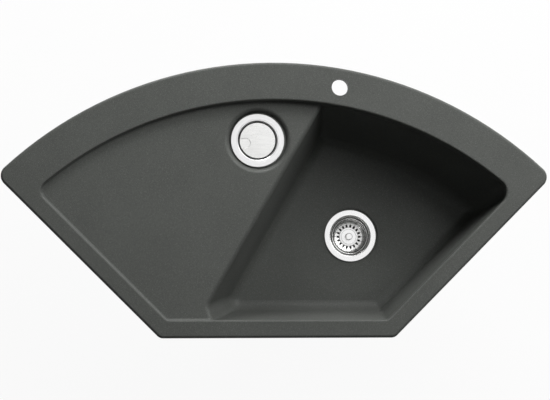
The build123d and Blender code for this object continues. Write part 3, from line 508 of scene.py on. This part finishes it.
def strainer_bowl():
    """The pressed basket: beaded lip, pierced floor, and slits that run on up its wall."""
    x, y = middle("strainer_basket")
    slots, thick = 18, 0.8
    whole, cut = False, True
    # radius, height over the lip's foot, whether a slot is cut on from there, its half width, in mm
    line = [
        (39.3, 0.0, whole, 0.5), (39.1, 0.5, whole, 0.5), (38.9, 1.3, whole, 0.5),
        (38.5, 1.7, whole, 0.5), (37.9, 1.6, whole, 0.5), (37.4, 1.1, whole, 0.5),
        (37.2, 0.3, whole, 0.5), (36.6, -0.2, whole, 0.5), (36.1, 0.1, whole, 0.5),
        (35.7, 0.2, whole, 0.5), (35.3, -0.3, whole, 0.5), (35.0, -1.6, whole, 0.5),
        (34.4, -5.0, whole, 0.5), (33.8, -9.0, cut, 0.5), (33.0, -14.0, cut, 0.5),
        (32.4, -16.6, cut, 0.5), (31.6, -18.2, cut, 0.5), (30.4, -18.9, cut, 0.5),
        (28.4, -19.3, cut, 0.5), (26.2, -19.6, cut, 0.5), (26.0, -19.65, cut, 1.9),
        (24.4, -19.9, cut, 2.1), (22.4, -20.2, cut, 2.3), (20.7, -20.4, whole, 2.4),
        (20.2, -20.5, whole, 0.5), (14.0, -21.4, whole, 0.5), (8.0, -22.3, whole, 0.5),
        (3.3, -23.0, whole, 0.5),
    ]
    inward_share = 0.6           # how far a slanting normal still counts as the sheet's upper side
    between = 6                  # strips of sheet from one slot to the next
    columns = slots * (between + 1)
    sector = 2.0 * math.pi / slots
    top, under = [], []
    for at, (reach, height, _, half) in enumerate(line):
        before = line[max(at - 1, 0)]
        after = line[min(at + 1, len(line) - 1)]
        along = Vector((after[0] - before[0], after[1] - before[1])).normalized()
        side = Vector((-along.y, along.x))
        if side.y + inward_share * side.x > 0.0:
            side = -side
        opening = half / reach
        rest = sector - 2.0 * opening
        ways = []
        for slot in range(slots):
            start = slot * sector - opening
            ways.append(start)
            ways += [start + 2.0 * opening + rest * k / between for k in range(between)]
        for level, shift in ((top, 0.0), (under, thick)):
            r, z = (reach + side.x * shift) * MM, (height + side.y * shift) * MM
            level.append([(x + r * math.cos(w), y + r * math.sin(w), basket_lip + z) for w in ways])
    corners = [point for ring in top + under for point in ring]
    rows = len(line)
    open_cells = {
        (at, slot * (between + 1))
        for at in range(rows - 1)
        for slot in range(slots)
        if line[at][2]
    }
    faces = []

    def patch(*spots):
        """A face on points named by level, row and column."""
        faces.append(
            [(level * rows + row) * columns + column % columns for level, row, column in spots]
        )

    for at in range(rows - 1):
        for column in range(columns):
            if (at, column) in open_cells:
                continue
            a, b, next_row = column, column + 1, at + 1
            patch((0, at, a), (0, at, b), (0, next_row, b), (0, next_row, a))
            patch((1, at, b), (1, at, a), (1, next_row, a), (1, next_row, b))
    # the sheet's cut edges, round each opening, the lip and the middle
    for at in range(rows - 1):
        for column in range(columns):
            shut = (at, column) not in open_cells
            beside = (at, (column + 1) % columns) not in open_cells
            if shut != beside:
                edge, next_row = column + 1, at + 1
                patch((0, at, edge), (1, at, edge), (1, next_row, edge), (0, next_row, edge))
    for at in range(rows):
        for column in range(columns):
            before = at > 0 and (at - 1, column) not in open_cells
            after = at < rows - 1 and (at, column) not in open_cells
            if before != after:
                a, b = column, column + 1
                patch((0, at, a), (0, at, b), (1, at, b), (1, at, a))
    piece = new_piece("pressed_basket", corners, faces, basket_steel, "strainer")
    sharp = piece.modifiers.new("sharp", "EDGE_SPLIT")
    sharp.split_angle = math.radians(50.0)
    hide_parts("strainer_basket")


def cup_mouth(turns):
    """The rounded cone that leads from the bowl flange down to the basket, over the cup's wall."""
    x, y = bowl_axis
    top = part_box("bowl_waste_cup")[1][2]
    foot = (basket_lip + 0.4 * MM - top) / MM
    # radius and height over the flange's top, in mm; the last two are behind the cup's surface
    line = [
        (45.4, -0.06), (45.0, 0.02), (44.2, -0.12), (43.4, -0.45), (42.6, -0.95), (41.9, -1.55),
        (41.3, -2.3), (40.8, -3.3), (40.5, -4.4), (40.4, foot), (42.9, foot - 0.3), (43.1, -0.9),
    ]
    rings = [
        [(x + reach * MM * c, y + reach * MM * s, top + height * MM) for c, s in directions(turns)]
        for reach, height in line
    ]
    ring_mesh("bowl_cup_mouth", rings, basket_steel, "sink")


def notch_edge():
    """The rounded edge of the lid's finger notch, along the notch's own upright wall."""
    x, y = drainer_axis
    tree = tree_of("drainer_lid")
    radius, centre, straight, mouth = 10.8 * MM, 25.8 * MM, 28.8 * MM, 32.4 * MM
    beyond = radius + 0.5 * MM               # just outside the notch, on the lid's top
    heading = math.radians(191.7)
    cosine, sine = math.cos(heading), math.sin(heading)

    def spot(along, across):
        return x + along * cosine - across * sine, y + along * sine + across * cosine

    def height(along, across):
        return reach_of((*spot(along, across), overhead), down, tree).z

    bed = height(centre, 0.0) - sunk
    # along the notch, then which way is out of it: to the side, and towards the lid's middle
    path = [(mouth, 1.0, 0.0), (straight, 1.0, 0.0)]
    path += [(centre, math.cos(turn), math.sin(turn)) for turn in numpy.linspace(0.0, math.pi, 40)]
    path += [(straight, -1.0, 0.0), (mouth, -1.0, 0.0)]
    lines = []
    for shift, at_bed in ((0.08 * MM, False), (-0.9 * MM, True), (0.5 * MM, True)):
        away = radius + shift
        line = []
        for along, side, inward in path:
            top = height(along - beyond * inward, beyond * side) + 0.3 * sunk
            level = bed if at_bed else top
            line.append((*spot(along - away * inward, away * side), level))
        lines.append(line)
    ring_mesh("lid_notch_edge", lines, lid_steel, "lid", round_trip=False)


bowl_foot_fairing(20.0 * MM, 540, 10)
cup_mouth(180)
recess_slope(240, 6)
notch_edge()
strainer_bowl()

# --------------------------------------------------------------------- floor


def backdrop_share(m, strength):
    """Camera, mirror and see-through rays meet a white floor; other rays a plain lit one."""
    path = m.add("ShaderNodeLightPath").outputs
    seen = m.calculate("MAXIMUM", path["Is Camera Ray"], path["Is Glossy Ray"])
    seen = m.calculate("MAXIMUM", seen, path["Is Transmission Ray"])
    return m.calculate("MULTIPLY", seen, strength)


floor_m = Shader("studio_floor")
paler, palest = (0.86, 0.86, 0.86), (0.90, 0.90, 0.90)
floor_m.colour(floor_m.ramp(floor_m.noise(3.0, 2.0), (0.3, paler), (0.7, palest)))
floor_m.constant(roughness=0.9, specular=0.0)
white = floor_m.add("ShaderNodeEmission")
white.inputs["Strength"].default_value = 1.0
blend = floor_m.add("ShaderNodeMixShader")
floor_m.link(backdrop_share(floor_m, 0.93), blend.inputs["Fac"])
floor_m.link(floor_m.surface.outputs["BSDF"], blend.inputs[1])
floor_m.link(white.outputs["Emission"], blend.inputs[2])
floor_m.link(blend.outputs["Shader"], floor_m.output.inputs["Surface"])

floor_half = 14.0
floor_gap = 0.001
ground = cad_low.z - floor_gap
sheet = bpy.data.meshes.new("studio_floor")
sheet.from_pydata(
    [
        (-floor_half, -floor_half, ground),
        (floor_half, -floor_half, ground),
        (floor_half, floor_half, ground),
        (-floor_half, floor_half, ground),
    ],
    [],
    [(0, 1, 2, 3)],
)
floor = bpy.data.objects.new("studio_floor", sheet)
scene.collection.objects.link(floor)
floor.data.materials.append(floor_m.material)

# --------------------------------------------------------------------- light

room_light = 0.01


class Sky(Shader):
    """The studio round the sink: dim as light, white to the camera, shaded in metal."""

    def __init__(self, name):
        self.world = bpy.data.worlds.new(name)
        self.world.use_nodes = True
        self.tree = self.world.node_tree
        self.tree.nodes.clear()
        self.output = self.add("ShaderNodeOutputWorld")
        self.place = self.add("ShaderNodeTexCoord").outputs["Generated"]

    def glow(self, strength, colour=None):
        node = self.add("ShaderNodeBackground")
        node.inputs["Color"].default_value = (1.0, 1.0, 1.0, 1.0)
        node.inputs["Strength"].default_value = strength
        if colour:
            self.link(colour, node.inputs["Color"])
        return node.outputs["Background"]

    def choose(self, share, first, second):
        node = self.add("ShaderNodeMixShader")
        self.link(share, node.inputs["Fac"])
        self.link(first, node.inputs[1])
        self.link(second, node.inputs[2])
        return node.outputs["Shader"]

    def towards(self, direction):
        return self.vector("DOT_PRODUCT", self.place, Vector(direction).normalized(), "Value")


sky = Sky("studio")
ray = sky.add("ShaderNodeLightPath").outputs
brightest = (0.10, 0.16, 0.98)
height = sky.spread(sky.towards(brightest), -1.0, 1.0)
shade = sky.ramp(
    height,
    (0.00, (0.70, 0.70, 0.70)),
    (0.45, (0.50, 0.50, 0.50)),
    (0.55, (0.20, 0.20, 0.20)),
    (0.85, (0.12, 0.12, 0.12)),
    (0.940, (0.30, 0.30, 0.30)),
    (0.975, (1.00, 1.00, 1.00)),
)
plain = sky.choose(ray["Is Glossy Ray"], sky.glow(room_light), sky.glow(1.0, shade))
through = sky.choose(ray["Is Transmission Ray"], plain, sky.glow(1.0))
seen = sky.choose(ray["Is Camera Ray"], through, sky.glow(1.0))
sky.link(seen, sky.output.inputs["Surface"])
scene.world = sky.world


lamp_target = Vector((-0.1, -0.22, 0.0))


def lamp(name, place, power, size):
    """A square soft lamp that faces the sink."""
    data = bpy.data.lights.new(name, "AREA")
    data.shape = "SQUARE"
    data.size = size
    data.energy = power
    o = bpy.data.objects.new(name, data)
    scene.collection.objects.link(o)
    o.location = place
    o.rotation_mode = "QUATERNION"
    o.rotation_quaternion = (lamp_target - Vector(place)).to_track_quat("-Z", "Y")


lamp("side_lamp", (1.52, 1.40, 1.61), 80.0, 2.6)
lamp("rear_lamp", (-0.52, 2.19, 0.89), 50.0, 1.2)
lamp("fill_lamp", (-1.17, -1.50, 1.99), 2.0, 0.3)

# -------------------------------------------------------------------- camera

eye = Vector((-0.5964, -0.6946, 4.8063))
aim = Vector((-0.1369, -0.2351, 0.0))
turned = math.radians(44.85)             # the picture's turn about the view's own axis
ahead = (aim - eye).normalized()
level = ahead.cross(Vector((0.0, 0.0, 1.0))).normalized()
rise = level.cross(ahead)
right = math.cos(turned) * level + math.sin(turned) * rise
up = -math.sin(turned) * level + math.cos(turned) * rise
lens = bpy.data.cameras.new("camera")
lens.sensor_fit = "HORIZONTAL"
lens.sensor_width = 36.0
lens.lens = 153.4
lens.clip_start = 0.05
lens.clip_end = 200.0
camera = bpy.data.objects.new("camera", lens)
scene.collection.objects.link(camera)
camera.matrix_world = Matrix(
    (
        (right.x, up.x, -ahead.x, eye.x),
        (right.y, up.y, -ahead.y, eye.y),
        (right.z, up.z, -ahead.z, eye.z),
        (0.0, 0.0, 0.0, 1.0),
    )
)
scene.camera = camera
scene.view_settings.view_transform = "Standard"
